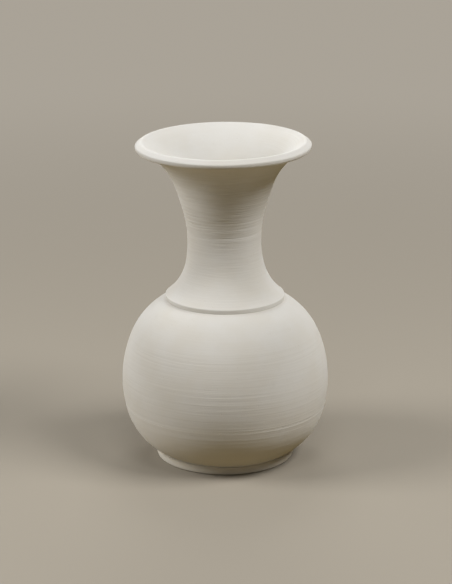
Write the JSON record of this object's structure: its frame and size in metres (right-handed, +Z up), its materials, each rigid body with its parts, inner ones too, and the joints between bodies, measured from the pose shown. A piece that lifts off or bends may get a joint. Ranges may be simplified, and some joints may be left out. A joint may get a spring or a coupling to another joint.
{
  "type": "bottle vase",
  "caption": "Unglazed off-white bottle vase with a round globe body on a low foot ring, a stepped shoulder, and a waisted trumpet neck with a rolled lip, for cut flowers.",
  "frame": {"origin": "centre of the foot ring's bottom face, on the surface that the vase stands on", "axes": "+Z up along the wheel's axis, through the foot, globe, neck and mouth; X and Y are free, because the form is round"},
  "size_m": [0.1726, 0.1726, 0.2706],
  "materials": {
    "bisque_clay": "unglazed bisque-fired clay, dry matt off-white with fine turning lines",
    "joining_slip": "fired joining slip of the same clay, a little darker and smoother"
  },
  "bodies": {
    "root": {"foot_ring": "bisque_clay", "foot_slip": "joining_slip", "lower_bowl": "bisque_clay", "belly_slip": "joining_slip", "upper_globe": "bisque_clay", "shoulder_slip": "joining_slip", "trumpet_neck": "bisque_clay"}
  },
  "joints": []
}
